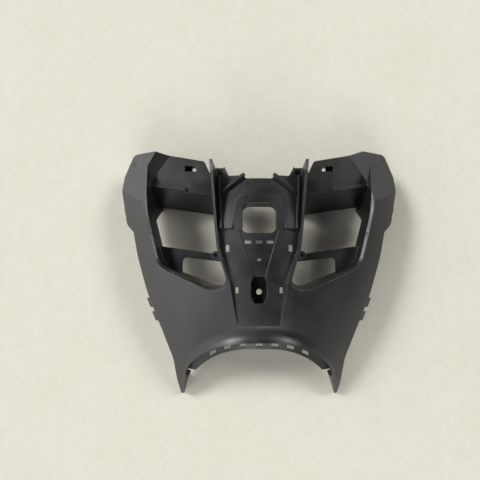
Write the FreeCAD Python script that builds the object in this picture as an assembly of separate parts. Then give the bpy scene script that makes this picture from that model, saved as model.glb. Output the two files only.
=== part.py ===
"""Inner leg-shield panel of a motor scooter, injection-moulded in one piece.

It lies face up, as it comes to rest: +X to the rider's right, +Y to the handlebar end, +Z out of the
face that the rider sees. The skin is a crowned sheet of even wall. Two pockets, a centre recess, a key
well and a screw pit are drawn down into it, and ribs, bosses and clip tabs stand behind it.
Sizes are in millimetres.
"""
import FreeCAD
import Part
import math
import os

Vec = FreeCAD.Vector

# Moulding
WALL = 3.0
SKIRT = 13.0
EDGE_ROUND = 2.5
BITE = 1.0
TOUCH = 0.05
FAR = 400.0

# Crown of the face: a parabola each way
CROWN_TOP = 140.0
CROWN_PEAK_Y = 79.0
CROWN_RUN = 100.0
CROWN_FALL_ALONG = 11.6
CROWN_FALL_ACROSS = 104.0
CROWN_FALL_TWIST = 0.15
CROWN_HALF_SPAN = 220.0
SHEET_HALF = 270.0

# Outer outline, right half, from the notch round to the prong: x, y, corner radius
OUTLINE = [
    (19.0, 138.0, 3.0), (22.5, 143.5, 3.0), (44.5, 143.5, 3.5), (52.5, 161.0, 3.5),
    (79.0, 161.0, 3.5), (88.0, 180.0, 6.0), (166.0, 193.0, 6.0), (206.0, 195.0, 9.0),
    (218.5, 158.0, 16.0), (220.0, 130.0, 30.0), (207.0, 76.0, 12.0), (194.0, 64.0, 5.0),
    (187.0, 28.0, 120.0), (171.0, -28.0, 150.0), (148.0, -86.0, 150.0), (133.0, -130.0, 60.0),
    (131.5, -166.0, 24.0), (127.5, -192.0, 0.0),
]

# Arch over the footboard tunnel
ARCH = [(60.0, -93.0, 120.0), (109.0, -139.0, 40.0), (152.0, -300.0, 0.0)]
FLARE_RADIUS = 20.0
FLARE_SETBACK = 7.0

# Pocket openings, right one
POCKET = [
    (77.0, 230.0, 0.0), (57.5, 34.0, 60.0), (42.5, -13.0, 9.0), (64.0, -19.5, 30.0),
    (146.0, 14.0, 30.0), (168.0, 95.0, 120.0), (181.0, 230.0, 0.0),
]
POCKET_LIP = 5.0
LIP_END_Y = 140.0
LIP_LOW = 62.0
COLLAR_BOTTOM = 45.0
GUSSET = [(86.0, 45.0), (110.0, 0.0)]
GUSSET_INNER_X = 110.0

# Bridge across the top of each pocket: where its front edge starts, its run and its lean
BRIDGE_START = (75.0, 124.0)
BRIDGE_SKEW = 8.2
BRIDGE_FLOOR = 58.0
BRIDGE_LEAN = 20.0
BRIDGE_REAR_Y = 150.0
BRIDGE_REAR_BOTTOM = 38.0
BRIDGE_CORNER = [(176.0, 195.0, 76.0), (140.0, 195.0, 58.0), (171.0, 148.0, 58.0)]
LEDGE_START = 42.0
LEDGE_WIDTH = 6.0
LEDGE_RISE = 4.0
CLIP_X = 110.0
CLIP_Y = 168.0
CLIP_WIDTH = 18.0
CLIP_LENGTH = 9.0
CLIP_DEPTH = 14.0
CLIP_TONGUE = 10.0

# Wing facet above a slanting crease
CREASE_INNER = (170.0, 108.0)
CREASE_OUTER = (219.0, 134.0)
FACET_TIP = (206.0, 195.0)
FACET_DROP = 14.0
FACET_INNER_X = 150.0

# Centre recess between the rails
RAIL = 4.0
RECESS_FLOOR = 130.0
RECESS_FLOOR_Y = 62.0
RECESS_SLOPE = 0.071
RECESS_TURN_Y = -10.0
RECESS_TAIL_SLOPE = 0.18
RECESS_END_Y = -70.0
RECESS_SAG = 8.0
RECESS_SAG_SPAN = 55.0
RECESS_TAIL = (20.5, -110.0)
RECESS_TAIL_DRAFT = 0.6
RECESS_CORNER_DRAFT = 0.65
VEE = [(9.0, -2.0, 0.0), (9.0, -20.0, 0.0)]
VEE_TOP = (27.0, 60.0, 0.0)
VEE_DEPTH = 1.6
RECESS_LOW = 72.0
RECESS_HIGH = 160.0

# Hood that falls from the ridge to the notch, and the key block that stands on it
HOOD_SLOPE = -0.36
HOOD_STEP = 3.5
GUIDE_GAP = 4.0
GUIDE_WIDTH = 2.0
GUIDE_HEIGHT = 5.0
PAD = [(53.0, 146.0, 0.0), (53.0, 170.0, 0.0), (80.0, 170.0, 0.0), (80.0, 146.0, 0.0)]
PAD_FLOOR = 82.0
KEY_BLOCK = [(36.0, 50.0, 0.0), (36.0, 78.0, 10.0), (29.0, 108.0, 12.0)]
KEY_WELL_HALF = 23.5
KEY_WELL_LOW_Y = 55.5
KEY_WELL_HIGH_Y = 96.0
KEY_WELL_CORNER = 9.0
KEY_COLLAR_BOTTOM = 104.0
BRACE = [(20.0, 143.0, 0.0), (52.0, 116.0, 0.0), (54.5, 119.0, 0.0), (23.0, 146.0, 0.0)]
BRACE_HEIGHT = 6.0

# Screw pit
PIT = [(7.0, -3.0, 2.0), (11.0, -12.0, 4.0), (11.0, -31.0, 4.0), (7.0, -40.0, 2.0)]
PIT_FLOOR = 103.0
PIT_HOLE_Y = -25.0
PIT_HOLE_R = 4.0

# Clip slots cut through the face: x, y, width, length; those off the middle are on both sides
SLOTS = [
    (0.0, 43.0, 9.0, 4.0), (15.0, 43.0, 9.0, 4.0), (0.0, 19.0, 5.0, 3.5), (43.0, 35.0, 5.0, 9.0),
    (30.0, -22.0, 4.0, 8.0), (0.0, 129.0, 8.0, 4.5), (14.6, 129.0, 8.0, 4.5),
    (CLIP_X, CLIP_Y, CLIP_WIDTH, CLIP_LENGTH), (202.0, 176.0, 2.0, 10.0),
]

# Clip flange under the arch lip
FLANGE_DROP = 9.0
FLANGE_REACH = 13.0
FLANGE_HALF = 112.0
FLANGE_END_Y = -146.0
FLANGE_SLOTS_EACH_SIDE = 3
FLANGE_PITCH = 22.5
FLANGE_SLOT = 10.0
FLANGE_WEB = 4.0

# Clip hooks on the outer edge: lower end, upper end and reach of each
HOOKS = [(-72.0, -58.0, 8.0), (-51.0, -37.0, 8.0), (80.0, 90.0, 4.0), (97.0, 107.0, 4.0)]
HOOK_DROP = 7.0
HOOK_DEPTH = 6.0

# Shelf across the lower end of each pocket, with the screw boss at the rail
SHELF = [
    (48.0, 28.0, 0.0), (116.0, 38.0, 6.0), (180.0, 47.0, 0.0), (180.0, -30.0, 0.0),
    (118.0, -30.0, 0.0), (118.0, 26.0, 6.0), (48.0, 18.0, 0.0),
]
SHELF_TOP = 62.0
BOSS_X = 59.5
BOSS_Y = 26.0
BOSS_R = 5.5
BOSS_HOLE_R = 2.5
BOSS_TOP = 118.0
BOSS_LENGTH = 26.0

# Locating tip at the foot of each prong, and the barb on its inner edge
LUG = [(129.0, -172.0, 0.0), (127.5, -195.0, 1.5), (124.0, -195.0, 1.5), (119.0, -172.0, 0.0)]
TOOTH = [(118.0, -146.0, 0.0), (106.0, -150.0, 0.0), (109.0, -157.0, 0.0), (119.0, -163.0, 0.0)]
FOOT_Y = -166.0

# Ribs behind the face: each from one end to the other
RIB = 2.0
RIBS = [
    ((76.0, -120.0), (76.0, -5.0)), ((122.0, -170.0), (122.0, 10.0)),
    ((38.0, -55.0), (170.0, -55.0)), ((156.0, 60.0), (205.0, 60.0)), ((164.0, 112.0), (219.0, 112.0)),
]

# Cross rib behind the centre recess: y and lower edge
COLUMN_RIBS = [(6.0, 92.0)]


def crown_pole(xs, ys):
    """Pole of the crowned face for a pair of ends across and a pair along; a point of it for equal ends."""
    (x0, x1), (y0, y1) = xs, ys
    x, y = (x0 + x1) / 2, (y0 + y1) / 2
    along = CROWN_FALL_ALONG * (y0 - CROWN_PEAK_Y) * (y1 - CROWN_PEAK_Y) / CROWN_RUN ** 2
    across = (CROWN_FALL_ACROSS - CROWN_FALL_TWIST * y) * x0 * x1 / CROWN_HALF_SPAN ** 2
    return Vec(x, y, CROWN_TOP - along - across)


def crown_z(x, y):
    """Height of the face at a point of the plan."""
    return crown_pole((x, x), (y, y)).z


def crown_face(drop):
    """The crowned face, lowered by drop: one patch over the whole sheet, of second degree each way."""
    ends = [(-SHEET_HALF, -SHEET_HALF), (-SHEET_HALF, SHEET_HALF), (SHEET_HALF, SHEET_HALF)]
    patch = Part.BezierSurface()
    patch.increase(2, 2)
    for i, xs in enumerate(ends, 1):
        for j, ys in enumerate(ends, 1):
            patch.setPole(i, j, crown_pole(xs, ys) - Vec(0, 0, drop))
    return patch.toShape()


def below_crown(drop):
    """Everything under the crowned face, lowered by drop."""
    return crown_face(drop).extrude(Vec(0, 0, -FAR))


def corner_arc(corner, bisector, half, radius):
    """The arc that rounds a corner, on a circle whose seam lies away from it."""
    circle = Part.Circle(corner + bisector * (radius / math.sin(half)), Vec(0, 0, 1), radius)
    circle.XAxis = bisector
    return Part.ArcOfCircle(circle, math.pi / 2 + half, 3 * math.pi / 2 - half).toShape()


def rounded_wire(points):
    """A closed plan outline through points of x, y and corner radius."""
    arcs, starts, ends = [], [], []
    corners = [Vec(x, y, 0) for x, y, radius in points]
    for i, corner in enumerate(corners):
        radius = points[i][2]
        before = (corners[i - 1] - corner).normalize()
        after = (corners[(i + 1) % len(corners)] - corner).normalize()
        half = before.getAngle(after) / 2
        reach = radius / math.tan(half)
        starts.append(corner + before * reach)
        ends.append(corner + after * reach)
        arcs.append(corner_arc(corner, (before + after).normalize(), half, radius) if radius else None)
    edges = []
    for i, arc in enumerate(arcs):
        edges.append(Part.LineSegment(ends[i - 1], starts[i]).toShape())
        if arc:
            edges.append(arc)
    return Part.Wire(edges)


def both_halves(points):
    """A closed outline from its right half, which starts and ends near the middle."""
    return points + [(-x, y, r) for x, y, r in reversed(points)]


def prism(points, grow=0.0, low=-FAR, high=FAR):
    """A plan outline, grown outward, raised between two heights."""
    wire = rounded_wire(points)
    if grow:
        wire = wire.makeOffset2D(grow)
    wire.translate(Vec(0, 0, low))
    return Part.Face(wire).extrude(Vec(0, 0, high - low))


def box(x0, x1, y0, y1, z0=-FAR, z1=FAR):
    """A block between two corners."""
    return Part.makeBox(x1 - x0, y1 - y0, z1 - z0, Vec(x0, y0, z0))


def right_half(shape):
    """What of a shape lies to the right of the middle."""
    return shape.common(box(0, FAR, -FAR, FAR, -2 * FAR, 2 * FAR))


def both_sides(half):
    """A solid and its mirror image, sewn into one along the middle plane."""
    open_faces = [face for face in half.Faces if face.BoundBox.XMax > TOUCH]
    left = half.mirror(Vec(0, 0, 0), Vec(1, 0, 0))
    open_faces += [face for face in left.Faces if face.BoundBox.XMin < -TOUCH]
    shell = Part.makeShell(open_faces)
    shell.sewShape()
    return Part.makeSolid(Part.makeShell(shell.Faces))


def half_space(corners):
    """A block under the plane through three points."""
    a, b, c = [Vec(*p) for p in corners]
    normal = (b - a).cross(c - a)
    if normal.z < 0:
        normal = normal * -1
    block = Part.makeBox(4 * FAR, 4 * FAR, 2 * FAR, Vec(-2 * FAR, -2 * FAR, -2 * FAR))
    block.Placement = FreeCAD.Placement(a, FreeCAD.Rotation(Vec(0, 0, 1), normal))
    return block


def lowered(points, drop):
    """Points of a plane, lowered by drop."""
    return [(x, y, z - drop) for x, y, z in points]


def rim_edges(solid, outline, drop=0.0):
    """Edges of a solid where the crown, lowered by drop, ends over a plan outline."""
    found = []
    for edge in solid.Edges:
        middle = edge.valueAt((edge.FirstParameter + edge.LastParameter) / 2)
        on_crown = abs(middle.z + drop - crown_z(middle.x, middle.y)) < TOUCH
        foot = Part.Vertex(Vec(middle.x, middle.y, 0))
        if on_crown and foot.distToShape(outline)[0] < TOUCH:
            found.append(edge)
    return found


def flared_sheet(skin):
    """The block under the crown, swept up into a flare round the arch."""
    setback = FLARE_SETBACK + skin
    tunnel = prism(both_halves(ARCH), -setback)
    block = below_crown(skin).fuse(tunnel)
    line = rounded_wire(both_halves(ARCH)).makeOffset2D(-setback)
    return block.makeFillet(FLARE_RADIUS + skin, rim_edges(block, line, skin))


def bridge_block(skin):
    """What stays solid under the bridge floor, behind its leaning front wall, and under its corner."""
    lean = math.tan(math.radians(BRIDGE_LEAN))
    back = skin / math.cos(math.radians(BRIDGE_LEAN))
    top = BRIDGE_FLOOR - skin
    front = back + lean * skin
    profile = Part.makePolygon([
        Vec(-FAR, front, top), Vec(-FAR, FAR, top), Vec(-FAR, FAR, -FAR),
        Vec(-FAR, front - lean * (top + FAR), -FAR), Vec(-FAR, front, top),
    ])
    block = Part.Face(profile).extrude(Vec(2 * FAR, 0, 0))
    block.rotate(Vec(0, 0, 0), Vec(0, 0, 1), BRIDGE_SKEW)
    block.translate(Vec(*BRIDGE_START, 0))
    corner = half_space(lowered(BRIDGE_CORNER, skin))
    rear = Part.makeBox(2 * FAR, FAR, 2 * FAR, Vec(-FAR, BRIDGE_CORNER[2][1] - skin, -FAR))
    return block.fuse(corner.common(rear))


def pocket_tool(skin):
    """The right pocket: through in front, down to the bridge floor behind."""
    return prism(POCKET, skin).cut(bridge_block(skin))


def wing_facet(skin):
    """What is taken off the right wing above its crease."""
    corners = [(x, y, crown_z(x, y)) for x, y in (CREASE_INNER, CREASE_OUTER)]
    corners.append((*FACET_TIP, crown_z(*FACET_TIP) - FACET_DROP))
    wing = Part.makeBox(FAR, FAR, 2 * FAR, Vec(FACET_INNER_X, 0, -FAR))
    return wing.cut(half_space(lowered(corners, skin)))


def trough(start_y, start_z, slope, run):
    """Everything above a parabolic trough that rises from a station by its slope."""
    sag = RECESS_SAG * (FAR / RECESS_SAG_SPAN) ** 2
    parabola = Part.BezierCurve()
    poles = [(-FAR, start_z - sag), (0, start_z + sag), (FAR, start_z - sag)]
    parabola.setPoles([Vec(x, start_y, z) for x, z in poles])
    floor = parabola.toShape().extrude(Vec(0, run, slope * run))
    return floor.extrude(Vec(0, 0, FAR))


def recess_plan(skin, height):
    """Plan of the centre recess at a height; its tail is drafted, the rest is upright."""
    half = [(x - RAIL + skin, y) for x, y, r in POCKET[:2]]
    corner_x, corner_y = POCKET[2][0] - RAIL, POCKET[2][1]
    for x, y, draft in ((corner_x, corner_y, RECESS_CORNER_DRAFT), (*RECESS_TAIL, RECESS_TAIL_DRAFT)):
        half.append((x + skin + draft * (height - crown_z(x, y)), y))
    left = [(-x, y) for x, y in reversed(half)]
    return Part.makePolygon([Vec(x, y, height) for x, y in half + left + half[:1]])


def recess_column(skin):
    """The upright space between the rails."""
    return Part.makeLoft([recess_plan(skin, h) for h in (RECESS_LOW, RECESS_HIGH)], True, True)


def centre_recess(skin):
    """The recess, its hood and the key block that is left standing."""
    column = right_half(recess_column(skin))
    floor = RECESS_FLOOR - skin
    block = prism(both_halves(KEY_BLOCK), -skin)
    turn = floor + RECESS_SLOPE * (RECESS_TURN_Y - RECESS_FLOOR_Y)
    face = trough(RECESS_TURN_Y, turn, RECESS_SLOPE, RECESS_FLOOR_Y + skin - RECESS_TURN_Y)
    tail = trough(RECESS_TURN_Y, turn, RECESS_TAIL_SLOPE, RECESS_END_Y - RECESS_TURN_Y)
    top = trough(RECESS_FLOOR_Y, floor, RECESS_SLOPE, FAR).common(block)
    hood = trough(RECESS_FLOOR_Y, floor + HOOD_STEP, HOOD_SLOPE, FAR).cut(block)
    vee = trough(RECESS_FLOOR_Y, floor - VEE_DEPTH, RECESS_SLOPE, -FAR).common(prism(vee_plan(), skin))
    pad = prism(PAD, skin, PAD_FLOOR - skin)
    return column.common(face.fuse([tail, top, hood, vee, pad]))


def vee_plan():
    """Plan of the shallow vee that runs from under the key well to the screw pit."""
    return both_halves([VEE_TOP] + VEE)


def key_well_plan():
    """Plan of the key well."""
    return both_halves([(KEY_WELL_HALF, KEY_WELL_HIGH_Y, KEY_WELL_CORNER),
                        (KEY_WELL_HALF, KEY_WELL_LOW_Y, KEY_WELL_CORNER)])


def lip_plan():
    """Closed plan of the part of the right pocket whose edge is rolled over."""
    ends = []
    for (x0, y0, r0), (x1, y1, r1) in ((POCKET[0], POCKET[1]), (POCKET[-1], POCKET[-2])):
        ends.append((x1 + (x0 - x1) * (LIP_END_Y - y1) / (y0 - y1), LIP_END_Y, POCKET_LIP))
    return ends[:1] + POCKET[1:-1] + ends[1:]


def rolled_lip(solid):
    """The face with the edge of the right pocket rolled over."""
    solid = solid.cut(prism(lip_plan(), 0, LIP_LOW))
    return solid.makeChamfer(POCKET_LIP, rim_edges(solid, rounded_wire(lip_plan())))


def rounded_outline(solid):
    """The face with its outer edge rounded, but for the tip of the prong."""
    edges = rim_edges(solid, rounded_wire(both_halves(OUTLINE)))
    return solid.makeFillet(EDGE_ROUND, [edge for edge in edges if edge.BoundBox.YMax > FOOT_Y])


def body(skin):
    """The right half of the solid under the face: the face itself at 0, its inside at the wall."""
    solid = flared_sheet(skin).common(right_half(prism(both_halves(OUTLINE), -skin)))
    solid = solid.cut(prism(both_halves(ARCH), skin))
    if skin == 0:
        solid = rolled_lip(solid)
    solid = solid.cut(pocket_tool(skin))
    if skin == 0:
        solid = rounded_outline(solid)
    solid = solid.cut(wing_facet(skin))
    solid = solid.cut(centre_recess(skin))
    solid = solid.cut(prism(key_well_plan(), skin))
    return solid.cut(prism(both_halves(PIT), skin, PIT_FLOOR - skin))


def rib_plate(start, end):
    """An upright plate between two points of the plan."""
    a, b = Vec(*start, 0), Vec(*end, 0)
    run = (b - a).normalize()
    side = Vec(-run.y, run.x, 0) * (RIB / 2)
    wire = Part.makePolygon([a + side, a - side, b - side, b + side, a + side])
    wire.translate(Vec(0, 0, -FAR))
    return Part.Face(wire).extrude(Vec(0, 0, 2 * FAR))


def gusset_block():
    """Where the collar runs down to the foot of the bridge, at the outer end."""
    (low_y, high_z), (high_y, low_z) = GUSSET
    corners = [(low_y, high_z), (high_y, low_z), (BRIDGE_REAR_Y, low_z), (BRIDGE_REAR_Y, high_z)]
    profile = Part.makePolygon([Vec(GUSSET_INNER_X, y, z) for y, z in corners + corners[:1]])
    return Part.Face(profile).extrude(Vec(FAR, 0, 0))


def trimming():
    """What is cut off behind: all below the skirt but the collar, bridge, column and prong foot."""
    waste = right_half(below_crown(SKIRT)).cut(wing_facet(SKIRT))
    bridge = prism(POCKET, WALL).common(bridge_block(0))
    front = bridge.common(box(0, FAR, 0, BRIDGE_REAR_Y, 0))
    gusset = prism(POCKET, WALL).common(gusset_block())
    rear = bridge.common(box(0, FAR, BRIDGE_REAR_Y, FAR, BRIDGE_REAR_BOTTOM))
    foot = box(0, FAR, -FAR, FOOT_Y, 0)
    waste = waste.cut([prism(POCKET, WALL, COLLAR_BOTTOM), front, rear, gusset, foot, recess_column(RAIL)])
    return waste.fuse(prism(key_well_plan(), WALL + BITE, -FAR, KEY_COLLAR_BOTTOM))


def skin_at(drop, depth=WALL):
    """A sheet that follows the crown at a drop, one wall or another depth thick."""
    return below_crown(drop).cut(below_crown(drop + depth))


def face_ribs():
    """Ribs behind the right panel and wing, as deep as the skirt."""
    sheet = skin_at(WALL - BITE, SKIRT - WALL + BITE)
    sheet = sheet.common(right_half(prism(both_halves(OUTLINE), -BITE))).cut(wing_facet(WALL - BITE))
    sheet = sheet.cut([prism(POCKET, BITE), prism(both_halves(ARCH), BITE)])
    return [sheet.common(rib_plate(start, end)) for start, end in RIBS]


def column_ribs():
    """Cross ribs behind the centre recess, from rail to rail."""
    column = recess_column(WALL - BITE)
    pit = prism(both_halves(PIT), BITE, PIT_FLOOR - BITE)
    ribs = []
    for y, low in COLUMN_RIBS:
        plate = column.common(box(0, FAR, y - RIB / 2, y + RIB / 2, low))
        ribs.append(plate.cut([centre_recess(WALL - BITE), pit]).common(below_crown(WALL - BITE)))
    return ribs


def clip_flange():
    """The right half of the lowered flange under the arch lip, with its row of slots."""
    arch = both_halves(ARCH)
    band = prism(arch, BITE).cut(prism(arch, -FLANGE_REACH))
    band = band.common(box(0, FLANGE_HALF, FLANGE_END_Y, 0))
    eyes = prism(arch, -FLANGE_WEB).cut(prism(arch, FLANGE_WEB - FLANGE_REACH))
    row = []
    for i in range(FLANGE_SLOTS_EACH_SIDE + 1):
        middle = i * FLANGE_PITCH
        row.append(eyes.common(box(middle - FLANGE_SLOT / 2, middle + FLANGE_SLOT / 2, FLANGE_END_Y, 0)))
    return skin_at(FLANGE_DROP).common(band).cut(row)


def side_hooks():
    """Clip hooks on the right outer edge: a plate that turns down at its end."""
    outline = both_halves(OUTLINE)
    edge = prism(outline, -BITE)
    plate, turned = skin_at(HOOK_DROP, RIB), skin_at(HOOK_DROP, HOOK_DEPTH)
    hooks = []
    for low, high, reach in HOOKS:
        plan = prism(outline, reach).cut(edge).common(box(0, FAR, low, high))
        end = plan.cut(prism(outline, reach - RIB))
        hooks += [plate.common(plan), turned.common(end)]
    return hooks


def bridge_ledge():
    """The raised ledge along the outer half of the bridge's front edge."""
    rail = box(LEDGE_START, FAR, 0, LEDGE_WIDTH, BRIDGE_FLOOR - BITE, BRIDGE_FLOOR + LEDGE_RISE)
    rail.rotate(Vec(0, 0, 0), Vec(0, 0, 1), BRIDGE_SKEW)
    rail.translate(Vec(*BRIDGE_START, 0))
    return rail.common(prism(POCKET, BITE))


def clip_box():
    """The walls under the clip slot of the bridge, and the tongue across it."""
    x, y = CLIP_WIDTH / 2, CLIP_LENGTH / 2
    low, high = BRIDGE_FLOOR - CLIP_DEPTH, BRIDGE_FLOOR - WALL + BITE
    walls = box(CLIP_X - x - RIB, CLIP_X + x + RIB, CLIP_Y - y - RIB, CLIP_Y + y + RIB, low, high)
    walls = walls.cut(box(CLIP_X - x, CLIP_X + x, CLIP_Y - y, CLIP_Y + y))
    end = CLIP_X + x
    tongue = box(end - CLIP_TONGUE, end + BITE, CLIP_Y - y - BITE, CLIP_Y + y + BITE, low, low + RIB)
    return [walls, tongue]


def rail_x(y):
    """Where the inner face of the right rail lies at a station."""
    (x0, y0, r0), (x1, y1, r1) = POCKET[:2]
    return x1 + (x0 - x1) * (y - y1) / (y0 - y1) - RAIL


def rail_guide():
    """The low rib beside the right rail, on the hood."""
    plan = []
    low_y, high_y = RECESS_FLOOR_Y, PAD[0][1]
    for y, gap in ((low_y, 0), (high_y, 0), (high_y, GUIDE_WIDTH), (low_y, GUIDE_WIDTH)):
        plan.append((rail_x(y) - GUIDE_GAP - gap, y, 0))
    floor = RECESS_FLOOR + HOOD_STEP
    low = trough(RECESS_FLOOR_Y, floor - BITE, HOOD_SLOPE, FAR)
    high = trough(RECESS_FLOOR_Y, floor + GUIDE_HEIGHT, HOOD_SLOPE, FAR)
    return prism(plan).common(low.cut(high))


def prong_tooth():
    """The barb on the inner edge of the right prong."""
    return skin_at(FLANGE_DROP).common(prism(TOOTH))


def pocket_shelf():
    """The bar and corner ledge across the lower end of the right pocket."""
    return prism(SHELF, 0, SHELF_TOP - WALL, SHELF_TOP).common(prism(POCKET, BITE))


def rail_boss():
    """The screw boss beside the lower end of the right rail."""
    return Part.makeCylinder(BOSS_R, BOSS_LENGTH, Vec(BOSS_X, BOSS_Y, BOSS_TOP - BOSS_LENGTH))


def prong_lug():
    """The locating tip at the foot of the right prong."""
    return prism(LUG, 0, 0, WALL)


def hood_brace():
    """The low diagonal rib beside the notch."""
    floor = RECESS_FLOOR + HOOD_STEP
    low = trough(RECESS_FLOOR_Y, floor - BITE, HOOD_SLOPE, FAR)
    high = trough(RECESS_FLOOR_Y, floor + BRACE_HEIGHT, HOOD_SLOPE, FAR)
    return prism(BRACE).common(low.cut(high)).common(recess_column(BITE))


def slot_tools():
    """Clip slots through the right half of the face."""
    tools = []
    for x, y, width, length in SLOTS:
        tools.append(box(x - width / 2, x + width / 2, y - length / 2, y + length / 2, 0))
    return tools


def screw_holes():
    """Round screw holes in the pit and the right rail boss."""
    pit = Part.makeCylinder(PIT_HOLE_R, WALL + 2 * BITE, Vec(0, PIT_HOLE_Y, PIT_FLOOR - WALL - BITE))
    boss = Part.makeCylinder(BOSS_HOLE_R, FAR, Vec(BOSS_X, BOSS_Y, BOSS_TOP - BOSS_LENGTH - BITE))
    return [pit, boss]


def inner_panel():
    """The whole moulding, from its right half."""
    ground = box(-FAR, FAR, -FAR, FAR, -2 * FAR, 0)
    half = body(0).cut(body(WALL)).cut([trimming(), ground] + slot_tools())
    added = [pocket_shelf(), rail_boss(), prong_lug(), hood_brace(), clip_flange()]
    added += [bridge_ledge(), rail_guide(), prong_tooth()]
    half = half.fuse(added + clip_box() + side_hooks() + face_ribs() + column_ribs())
    return both_sides(half.cut(screw_holes())).removeSplitter()


if __name__ == "__main__":
    os.makedirs("parts", exist_ok=True)
    panel = inner_panel()
    panel.exportStep("parts/inner_panel.step")
    print("inner_panel", panel.isValid(), len(panel.Solids), round(panel.Volume), panel.optimalBoundingBox())
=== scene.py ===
"""Looks of the scooter inner panel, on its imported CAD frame. Lengths are in metres."""
import bpy
import math
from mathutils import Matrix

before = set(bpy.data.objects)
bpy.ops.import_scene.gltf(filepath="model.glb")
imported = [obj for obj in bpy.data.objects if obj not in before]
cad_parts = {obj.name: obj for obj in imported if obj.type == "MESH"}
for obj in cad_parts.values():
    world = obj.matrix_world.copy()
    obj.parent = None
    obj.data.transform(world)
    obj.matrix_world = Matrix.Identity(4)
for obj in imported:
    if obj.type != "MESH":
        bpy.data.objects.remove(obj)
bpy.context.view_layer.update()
scene = bpy.context.scene

# Plastic: colours
BLACK = (0.0072, 0.0075, 0.0081, 1), (0.0110, 0.0114, 0.0122, 1)
DUST = (0.12, 0.115, 0.105, 1)
SPECK = (0.30, 0.28, 0.25, 1)
# Lighter grey on the edges: partly rubbed wear, partly a painted edge highlight
RUBBED_AND_HIGHLIGHT = (0.16, 0.16, 0.16, 1)
DUST_SHARE = 0.035              # the most that each of them covers
SPECK_SHARE = 0.25
RUBBED_AND_HIGHLIGHT_SHARE = 0.35
# Plastic: spans over which dust, specks and the rubbed edges with their painted highlight set in
EDGE_TURN = 0.99, 0.86          # cosine between a face and its rounded edge
UPWARD = 0.55, 0.98             # how far a face looks up
SCUFF_SPAN = 0.42, 0.66         # levels of the noise
CLOUD_SPAN = 0.36, 0.74
SPECK_SPAN = 0.66, 0.74
GLOSS_SPAN = 0.3, 0.7
# Plastic: noise, in cells a metre
TONE_SCALE = 46.0
SCUFF_SCALE = 260.0
CLOUD_SCALE = 17.0
SPECK_SCALE = 900.0
GLOSS_SCALE = 33.0
FLOW_SCALE = 24.0
GRAIN_SCALE = 620.0
PIT_SCALE = 1150.0
# Plastic: surface
EDGE_RADIUS = 0.0014
EDGE_SAMPLES = 6
ROUGHNESS = 0.34, 0.42
DUST_ROUGHNESS = 0.10
SPECULAR = 0.74
GRAIN_SHARE = 0.8               # of the fine noise, beside the pits
FLOW_BUMP = 0.10, 0.004         # strength and height
GRAIN_BUMP = 0.30, 0.0003

FLOOR_HALF = 20.0
FLOOR_DROP = 0.0002             # keeps the floor clear of the panel's feet
FLOOR_COLOURS = (0.69, 0.655, 0.555, 1), (0.73, 0.696, 0.60, 1)
FLOOR_ROUGHNESS = 0.85
FLOOR_BUMP = 0.06, 0.001
MOTTLE_SCALES = 60.0, 9.0
MOTTLE_SHARE = 0.6              # of the coarse noise
MOTTLE_SPAN = 0.5, 1.1

# Room: azimuth from the handlebar end, elevation and half-width of each window in degrees, and its level
WINDOWS = [
    (304, 38, 8, 33.0),
    (59, 38, 9, 15.5),
    (240, 44, 18, 1.8),
    (129, 17, 22, 0.25),
    (180, 29, 13, 6.0),
]
SOFTNESS = 0.35                 # how much of a window's half-width fades
# Room: the glow low on the walls, between two heights, which grows towards the left
GLOW_TOP = 0.60, 0.30
GLOW_FOOT = -0.02, 0.08
LEFT = (-1.0, 0.0, 0.0)
LEFT_SPAN = 0.35, 0.90
GLOW_LEVELS = 0.08, 1.75
ROOM_COLOUR = (0.985, 0.99, 1.0, 1)
BACKDROP = 0.85                 # level where the camera sees the room

CAMERA_PLACE = (0, -0.001, 0.572)
CAMERA_TIP = 6.0                # degrees


class Nodes:
    """A short way to build a new material's node tree, or a given one."""

    def __init__(self, name="", tree=None):
        self.tree = tree
        if tree is None:
            self.material = bpy.data.materials.new(name)
            self.material.use_nodes = True
            self.tree = self.material.node_tree
            self.shader = self.tree.nodes["Principled BSDF"]

    def add(self, kind, sockets=None, **settings):
        """Adds a node; sockets maps an input to a value or to another node's output."""
        node = self.tree.nodes.new(kind)
        for key, value in settings.items():
            setattr(node, key, value)
        for key, value in (sockets or {}).items():
            self.feed(node.inputs[key], value)
        return node

    def feed(self, socket, value):
        """Sets a socket to a value, or links it to an output."""
        if isinstance(value, bpy.types.NodeSocket):
            self.tree.links.new(value, socket)
        else:
            socket.default_value = value

    def place(self):
        """A point's place on its object."""
        return self.add("ShaderNodeTexCoord").outputs["Object"]

    def noise(self, place, scale, detail=3.0, roughness=0.55):
        """Noise from 0 to 1 at a scale in cells a metre."""
        return self.add("ShaderNodeTexNoise", {
            "Vector": place, "Scale": scale, "Detail": detail, "Roughness": roughness}).outputs["Fac"]

    def math(self, operation, a, b):
        """What an operation makes of two values."""
        return self.add("ShaderNodeMath", {0: a, 1: b}, operation=operation).outputs[0]

    def times(self, a, b):
        """The product of two values."""
        return self.math("MULTIPLY", a, b)

    def dot(self, a, b):
        """The dot product of two directions."""
        return self.add("ShaderNodeVectorMath", {0: a, 1: b}, operation="DOT_PRODUCT").outputs["Value"]

    def upward(self, direction):
        """The Z of a direction."""
        return self.add("ShaderNodeSeparateXYZ", {0: direction}).outputs["Z"]

    def span(self, value, low, high, to_low=0.0, to_high=1.0):
        """A value mapped smoothly from one span to another, and held there."""
        return self.add("ShaderNodeMapRange", {
            "Value": value, "From Min": low, "From Max": high, "To Min": to_low, "To Max": to_high},
            interpolation_type="SMOOTHSTEP").outputs[0]

    def mix(self, factor, a, b):
        """Two colours mixed by a factor."""
        node = self.add("ShaderNodeMix", data_type="RGBA")
        for socket, value in zip((node.inputs[0], node.inputs[6], node.inputs[7]), (factor, a, b)):
            self.feed(socket, value)
        return node.outputs[2]

    def bump(self, strength, distance, height, normal=None):
        """A normal bent by a height."""
        sockets = {"Strength": strength, "Distance": distance, "Height": height}
        if normal is not None:
            sockets["Normal"] = normal
        return self.add("ShaderNodeBump", sockets).outputs[0]


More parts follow.
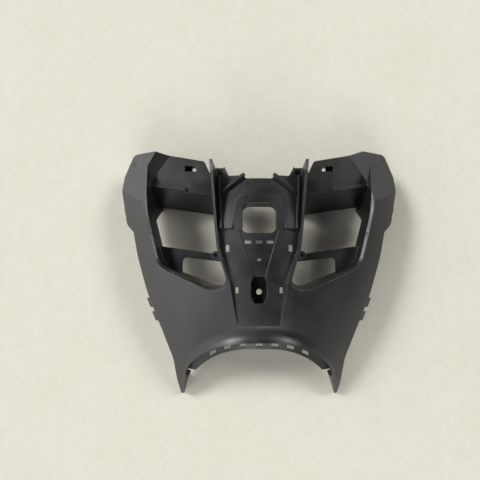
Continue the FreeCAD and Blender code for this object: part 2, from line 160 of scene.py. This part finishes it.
def grained_plastic():
    """Black moulded plastic: a fine spark-eroded grain, edges lightened partly as rubbed wear and partly
    as a painted highlight, and dust that has settled on it.
    """
    n = Nodes("panel_plastic")
    place = n.place()
    facing = n.add("ShaderNodeNewGeometry").outputs["Normal"]
    rounded = n.add("ShaderNodeBevel", {"Radius": EDGE_RADIUS}, samples=EDGE_SAMPLES).outputs["Normal"]

    scuffs = n.span(n.noise(place, SCUFF_SCALE, 4.0), *SCUFF_SPAN)
    # Edge mask for a lighter grey on all rounded edges: rubbed wear and a painted edge highlight
    rubbed_and_highlight = n.times(n.span(n.dot(facing, rounded), *EDGE_TURN), scuffs)
    clouds = n.span(n.noise(place, CLOUD_SCALE, 5.0, 0.6), *CLOUD_SPAN)
    dust = n.times(n.span(n.upward(facing), *UPWARD), clouds)
    specks = n.times(n.span(n.noise(place, SPECK_SCALE, 2.0), *SPECK_SPAN), dust)

    shade = n.mix(n.noise(place, TONE_SCALE, 4.0), *BLACK)
    shade = n.mix(n.times(dust, DUST_SHARE), shade, DUST)
    shade = n.mix(n.times(specks, SPECK_SHARE), shade, SPECK)
    # Paints the edges lighter: rubbed wear and a painted edge highlight
    shade = n.mix(n.times(rubbed_and_highlight, RUBBED_AND_HIGHLIGHT_SHARE), shade, RUBBED_AND_HIGHLIGHT)
    n.feed(n.shader.inputs["Base Color"], shade)

    gloss = n.span(n.noise(place, GLOSS_SCALE, 4.0), *GLOSS_SPAN, *ROUGHNESS)
    n.feed(n.shader.inputs["Roughness"], n.math("ADD", gloss, n.times(dust, DUST_ROUGHNESS)))
    n.feed(n.shader.inputs["Specular IOR Level"], SPECULAR)

    pits = n.add("ShaderNodeTexVoronoi", {"Vector": place, "Scale": PIT_SCALE}).outputs["Distance"]
    grain = n.math("ADD", pits, n.times(n.noise(place, GRAIN_SCALE, 2.0), GRAIN_SHARE))
    flow = n.bump(*FLOW_BUMP, n.noise(place, FLOW_SCALE, 2.0), rounded)
    n.feed(n.shader.inputs["Normal"], n.bump(*GRAIN_BUMP, grain, flow))
    return n.material


def pale_floor():
    """A plain pale floor with a faint mottle."""
    n = Nodes("floor")
    place = n.place()
    fine, coarse = MOTTLE_SCALES
    mottle = n.math("ADD", n.noise(place, fine, 5.0), n.times(n.noise(place, coarse, 3.0), MOTTLE_SHARE))
    n.feed(n.shader.inputs["Base Color"], n.mix(n.span(mottle, *MOTTLE_SPAN), *FLOOR_COLOURS))
    n.feed(n.shader.inputs["Roughness"], FLOOR_ROUGHNESS)
    n.feed(n.shader.inputs["Normal"], n.bump(*FLOOR_BUMP, mottle))
    return n.material


def floor():
    """The floor that the panel lies on."""
    half = FLOOR_HALF
    corners = [(-half, -half, 0), (half, -half, 0), (half, half, 0), (-half, half, 0)]
    mesh = bpy.data.meshes.new("floor")
    mesh.from_pydata(corners, [], [(0, 1, 2, 3)])
    mesh.materials.append(pale_floor())
    piece = bpy.data.objects.new("floor", mesh)
    piece.location.z = -FLOOR_DROP
    scene.collection.objects.link(piece)


def direction(azimuth, elevation):
    """The unit direction of an azimuth, from +Y over +X, and an elevation, in degrees."""
    turn, rise = math.radians(azimuth), math.radians(elevation)
    return math.cos(rise) * math.sin(turn), math.cos(rise) * math.cos(turn), math.sin(rise)


def room():
    """The light: soft windows, most of them at the handlebar end, a glow on the left, and a backdrop."""
    world = bpy.data.worlds.new("room")
    world.use_nodes = True
    n = Nodes(tree=world.node_tree)
    towards = n.add("ShaderNodeTexCoord").outputs["Generated"]
    height = n.upward(towards)
    walls = n.times(n.span(height, *GLOW_TOP), n.span(height, *GLOW_FOOT))
    level = n.times(walls, n.span(n.dot(towards, LEFT), *LEFT_SPAN, *GLOW_LEVELS))
    for azimuth, elevation, wide, strength in WINDOWS:
        rim, full = (math.cos(math.radians(wide * part)) for part in (1 + SOFTNESS, 1 - SOFTNESS))
        glow = n.span(n.dot(towards, direction(azimuth, elevation)), rim, full, 0.0, strength)
        level = n.math("ADD", level, glow)
    shown = n.add("ShaderNodeLightPath").outputs["Is Camera Ray"]
    back = world.node_tree.nodes["Background"]
    n.feed(back.inputs["Strength"], n.add("ShaderNodeMix", {0: shown, 2: level, 3: BACKDROP}).outputs[0])
    n.feed(back.inputs["Color"], ROOM_COLOUR)
    scene.world = world


def camera():
    """The photograph's camera: straight above, tipped a little towards the handlebar end."""
    data = bpy.data.cameras.new("camera")
    data.sensor_width = 36.0
    data.lens = 24.75
    data.shift_x = -0.0396
    data.clip_start = 0.01
    piece = bpy.data.objects.new("camera", data)
    piece.location = CAMERA_PLACE
    piece.rotation_euler = (math.radians(CAMERA_TIP), 0, 0)
    scene.collection.objects.link(piece)
    scene.camera = piece


def dress(piece, material):
    """Gives a CAD node its material."""
    piece.data.materials.clear()
    piece.data.materials.append(material)


scene.view_settings.view_transform = "Standard"
dress(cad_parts["inner_panel"], grained_plastic())
floor()
room()
camera()
